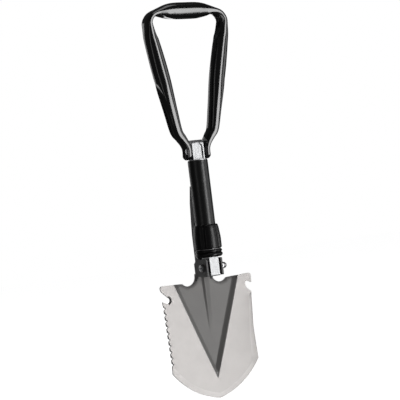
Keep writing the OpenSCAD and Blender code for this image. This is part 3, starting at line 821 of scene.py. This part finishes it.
def handle_mesh():
    count = 2 * SIDE_COUNT + MIDDLE_COUNT
    points, faces, sides = [], [], 2 * count
    for i, row in enumerate(run):
        before, after = run[max(i - 1, 0)], run[min(i + 1, len(run) - 1)]
        tx, tz = after[0] - before[0], after[1] - before[1]
        length = math.hypot(tx, tz)
        nx, nz = -tz / length, tx / length
        # the leg's end is rounded about the pin
        depth = math.sqrt(max(END_R ** 2 - min(row[1], 0) ** 2, 0.3)) if row[1] < 0 else 99
        for across, deep in section(row * SLIMMER):
            deep = max(-depth, min(depth, deep))
            points.append(from_pivot(*fitted(row[0] + nx * across, deep, row[1] + nz * across)))
    for i in range(len(run) - 1):
        for k in range(sides):
            a, b = i * sides + k, i * sides + (k + 1) % sides
            faces.append((a, a + sides, b + sides, b))
    for base in (0, (len(run) - 1) * sides):
        strip = [(base + k, base + k + 1, base + sides - 2 - k, base + sides - 1 - k)
                 for k in range(count - 1)]
        faces += strip if base == 0 else [tuple(reversed(q)) for q in strip]
    return points, faces


points, faces = handle_mesh()
handle = piece("handle_tube", points, faces, "handle", [GLOSS], ["handle_frame"], angle=50)
mend(handle.data, 2e-5, 1e-6)
handle.data.set_sharp_from_angle(angle=math.radians(50))
print("handle tube", len(handle.data.vertices), "points")

# %% [markdown]
# ## Turned parts
# The tube, the pressure ring and the threaded sleeve are all round about the shaft's middle line. A lathe
# turns an outline about that line, and a closed outline gives a closed piece.

# %% A lathe about the shaft
def turned(name, outline, body, material, stands_for, segments=72, angle=30):
    points, faces, count = [], [], len(outline)
    for i in range(segments):
        a = 2 * math.pi * i / segments
        points += [from_hinge(r * math.cos(a), r * math.sin(a), z) for r, z in outline]
    for i in range(segments):
        for k in range(count):
            a, b = i * count + k, i * count + (k + 1) % count
            c, d = ((i + 1) % segments) * count + (k + 1) % count, ((i + 1) % segments) * count + k
            faces.append((a, d, c, b))
    made = piece(name, points, faces, body, [material], stands_for, angle=angle)
    mend(made.data, 1e-7, 1e-7)
    made.data.set_sharp_from_angle(angle=math.radians(angle))
    return made


print("lathe ready")

# %% Shaft tube, with a rolled rim
def heights(node):
    return [v.z * 1000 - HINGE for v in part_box(node)]


TUBE_LOW, TUBE_HIGH = heights("shaft_tube")
TUBE_IN = TUBE_R - 1.2
tube_outline = ([(TUBE_IN, TUBE_LOW), (TUBE_R - 0.3, TUBE_LOW)]
                + arc(TUBE_R - 0.3, TUBE_LOW + 0.3, 0.3, -90, 0, 4)
                + [(TUBE_R, TUBE_LOW + 20), (TUBE_R, TUBE_HIGH - 20)]
                + arc(TUBE_R - 0.5, TUBE_HIGH - 0.5, 0.5, 0, 90, 5) + [(TUBE_IN, TUBE_HIGH)])
turned("shaft_tube_skin", tube_outline, "shaft", TUBE, ["shaft_tube"], segments=96)
print("tube from", round(TUBE_LOW, 1), "to", round(TUBE_HIGH, 1))

# %% Pressure ring: a broad bead with a smaller one above it
RING_LOW, RING_HIGH = heights("pressure_ring")
RING_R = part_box("pressure_ring")[1].x * 1000
RING_IN = 12.12
ring_outline = ([(RING_IN, RING_LOW), (RING_R - 1.6, RING_LOW)]
                + arc(RING_R - 2.1, RING_LOW + 2.4, 2.1, -60, 52, 12)
                + [(RING_R - 1.25, RING_LOW + 4.7)]
                + arc(RING_R - 1.75, RING_LOW + 6.2, 1.5, -50, 80, 10) + [(RING_IN, RING_HIGH)])
turned("pressure_ring_skin", ring_outline, "ring", NYLON, ["pressure_ring"], segments=96)
print("ring height", round(RING_HIGH - RING_LOW, 2))

# %% [markdown]
# ## Collar
# The collar is moulded nylon with five finger flutes. Its surface follows a rule: a tapering outline,
# with the same shallow groove taken out at equal turns. So it is built from that rule, ring by ring, and
# the grooves get rounded shoulders as a mould gives them.

# %% The rule for the collar's skin
COLLAR_LOW, COLLAR_HIGH = heights("locking_collar")
COLLAR_R, COLLAR_BORE, LIP_BORE, LIP_H = 14.35, 12.37, 10.92, 3
FLUTES, FLUTE_START, FLUTE_DEPTH, FLUTE_HALF = 5, 8.0, 1.25, 13.5
FLUTE_STEP = 360 / FLUTES


def collar_radius(t):
    return float(np.interp(t, [0, 0.012, 0.035, 0.45, 0.86, 0.955, 0.985, 1.0],
                           [13.35, 13.95, COLLAR_R, COLLAR_R, 13.3, 12.75, 12.4, 11.8]))


def flute(angle):
    gap = (angle - FLUTE_START + FLUTE_STEP / 2) % FLUTE_STEP - FLUTE_STEP / 2
    t = min(abs(gap) / FLUTE_HALF, 1)
    return FLUTE_DEPTH * 0.5 * (1 + math.cos(math.pi * t))


def collar_mesh(segments=180, rows=44):
    height = COLLAR_HIGH - COLLAR_LOW
    points, faces = [], []
    levels = [0.5 - 0.5 * math.cos(math.pi * i / rows) for i in range(rows + 1)]
    for t in levels:
        for k in range(segments):
            a = math.radians(360 * k / segments)
            fade = min(1, max(0.35, 1.25 - 0.5 * t))
            r = collar_radius(t) - flute(math.degrees(a)) * fade
            points.append(from_hinge(r * math.cos(a), r * math.sin(a), COLLAR_LOW + t * height))
    bore = [(COLLAR_BORE, 0), (COLLAR_BORE, height - LIP_H), (LIP_BORE, height - LIP_H), (LIP_BORE, height)]
    for r, t in reversed(bore):
        for k in range(segments):
            a = math.radians(360 * k / segments)
            points.append(from_hinge(r * math.cos(a), r * math.sin(a), COLLAR_LOW + t))
    total = len(levels) + len(bore)
    for i in range(total):
        for k in range(segments):
            a, b = i * segments + k, i * segments + (k + 1) % segments
            c, d = ((i + 1) % total) * segments + (k + 1) % segments, ((i + 1) % total) * segments + k
            faces.append((a, b, c, d))
    return points, faces


points, faces = collar_mesh()
piece("collar_skin", points, faces, "collar", [NYLON], ["locking_collar"], angle=40)
print("collar", len(points), "points")

# %% [markdown]
# ## Thread
# Under the collar a real thread winds up the sleeve. A thread repeats along a helix, so Geometry Nodes
# suit it: a spiral curve carries a small ridge profile, and the pitch and the number of turns are inputs
# of the tree.

# %% Geometry Nodes tree for the thread
def thread_tree():
    tree = bpy.data.node_groups.new("thread_ridge", "GeometryNodeTree")
    add = tree.interface.new_socket
    add("Geometry", in_out="INPUT", socket_type="NodeSocketGeometry")
    for name in ("Radius", "Pitch", "Turns", "Ridge", "Base"):
        add(name, in_out="INPUT", socket_type="NodeSocketFloat")
    add("Finish", in_out="INPUT", socket_type="NodeSocketMaterial")
    add("Geometry", in_out="OUTPUT", socket_type="NodeSocketGeometry")
    make = node_maker(tree)
    given, out = make("NodeGroupInput"), make("NodeGroupOutput")
    height = math_node(make, "MULTIPLY", given.outputs["Pitch"], given.outputs["Turns"])
    spiral = make("GeometryNodeCurveSpiral", Resolution=48, Rotations=given.outputs["Turns"], Height=height)
    for end in ("Start Radius", "End Radius"):
        tree.links.new(given.outputs["Radius"], spiral.inputs[end])
    lift = make("ShaderNodeCombineXYZ", Z=given.outputs["Base"])
    raised = make("GeometryNodeTransform", Geometry=spiral.outputs["Curve"],
                  Translation=lift.outputs["Vector"])
    profile = make("GeometryNodeCurvePrimitiveCircle", Resolution=6, Radius=given.outputs["Ridge"])
    ridge = make("GeometryNodeCurveToMesh", Curve=raised.outputs["Geometry"],
                 Profile_Curve=profile.outputs["Curve"])
    ridge.inputs["Fill Caps"].default_value = True
    real = make("GeometryNodeRealizeInstances", Geometry=ridge.outputs["Mesh"])
    coated = make("GeometryNodeSetMaterial", Geometry=real.outputs["Geometry"],
                  Material=given.outputs["Finish"])
    tree.links.new(coated.outputs["Geometry"], out.inputs["Geometry"])
    return tree


THREAD_TREE = thread_tree()
print("thread tree", len(THREAD_TREE.nodes), "nodes")


# %% Wind the thread and keep the plain mesh
def from_tree(name, tree, values):
    holder = placed(name + "_holder", bpy.data.meshes.new(name + "_holder"))
    modifier = holder.modifiers.new("nodes", "NODES")
    modifier.node_group = tree
    for item in tree.interface.items_tree:
        if item.in_out == "INPUT" and item.name in values:
            modifier[item.identifier] = values[item.name]
    shown = holder.evaluated_get(bpy.context.evaluated_depsgraph_get())
    mesh = bpy.data.meshes.new_from_object(shown)
    holder.modifiers.remove(modifier)
    bpy.data.objects.remove(holder)
    return mesh


SLEEVE_BOTTOM, SLEEVE_TOP = (v.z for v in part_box("threaded_sleeve"))
PITCH, SLEEVE_IN, SLEEVE_OUT = 0.003, 10.55, 11.15
turns = (SLEEVE_TOP - SLEEVE_BOTTOM) / PITCH - 0.7
thread_mesh = from_tree("thread_ridge", THREAD_TREE, {
    "Radius": 0.01115, "Pitch": PITCH, "Turns": turns, "Ridge": 0.0005, "Base": SLEEVE_BOTTOM + 0.001,
    "Finish": THREAD})
thread = placed("thread_ridge", thread_mesh)
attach(thread, "shaft")
core_low, core_high = heights("threaded_sleeve")
core_low += 0.02
sleeve_outline = [(SLEEVE_IN, core_low), (SLEEVE_OUT, core_low), (SLEEVE_OUT, core_high),
                  (SLEEVE_IN, core_high)]
turned("thread_core", sleeve_outline, "shaft", THREAD, ["threaded_sleeve"])
print("thread", len(thread_mesh.vertices), "points,", round(turns, 1), "turns")

# %% [markdown]
# ## Parts whose shape the frame already has
# The hinge block, yoke, pick and small hardware are right as they are, but a drawn solid has knife-sharp
# edges that no plated part has. A copy of each is merged into one skin, its flat faces are joined again,
# and a small bevel rounds the edges so that they catch the light.

# %% Copy a node, merge it and round its edges
def dressed(node, material, edge):
    mesh = frame["nodes"][node].data.copy()
    bm = bmesh.new()
    bm.from_mesh(mesh)
    bmesh.ops.remove_doubles(bm, verts=bm.verts, dist=2e-6)
    bmesh.ops.dissolve_limit(bm, angle_limit=math.radians(0.6), verts=bm.verts, edges=bm.edges)
    for face in bm.faces:
        face.smooth = True
    bm.to_mesh(mesh)
    bm.free()
    mesh.materials.clear()
    mesh.materials.append(material)
    mesh.set_sharp_from_angle(angle=math.radians(28))
    made = edges_rounded(placed(node + "_finished", mesh), edge, 2, 32)
    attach(made, frame["nodes"][node]["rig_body"])
    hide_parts(node)
    return made


for node, slot, material, edge in (
        ("hinge_block", "zinc", ZINC, 0.35), ("handle_yoke", "zinc", ZINC, 0.3),
        ("pick", "pick_steel", OXIDE, 0.3), ("hinge_bolt", "bolt_zinc", BOLT, 0.12),
        ("handle_pin", "bolt_zinc", BOLT, 0.1), ("pin_cap", "bolt_zinc", BOLT, 0.1),
        ("pick_pin", "bolt_zinc", BOLT, 0.2), ("dome_nut", "dome_chrome", CHROME, 0.15),
        ("nut_washer", "washer_grey", WASHER, 0.1), ("handle_washers", "washer_grey", WASHER, 0.08),
        ("hinge_spacers", "black_spacer", NYLON, 0.2), ("block_rivet", "bolt_zinc", BOLT, 0.15)):
    dressed(node, material, edge)

# %% Finish the nodes that stay as they are
for node, material in (("slip_washer", WASHER), ("collar_insert", BRASS)):
    slots = frame["nodes"][node].data.materials
    slots.clear()
    slots.append(material)
print("carried nodes finished")

# %% [markdown]
# ## The frame's size again
# Every skin has to stay inside the solid it stands for, so the frame's size, measured at the start before
# anything was added, is printed once more.

# %% Print the frame's size once more
print("frame", [round(v * 1000, 2) for v in (*low_before, *high_before)])
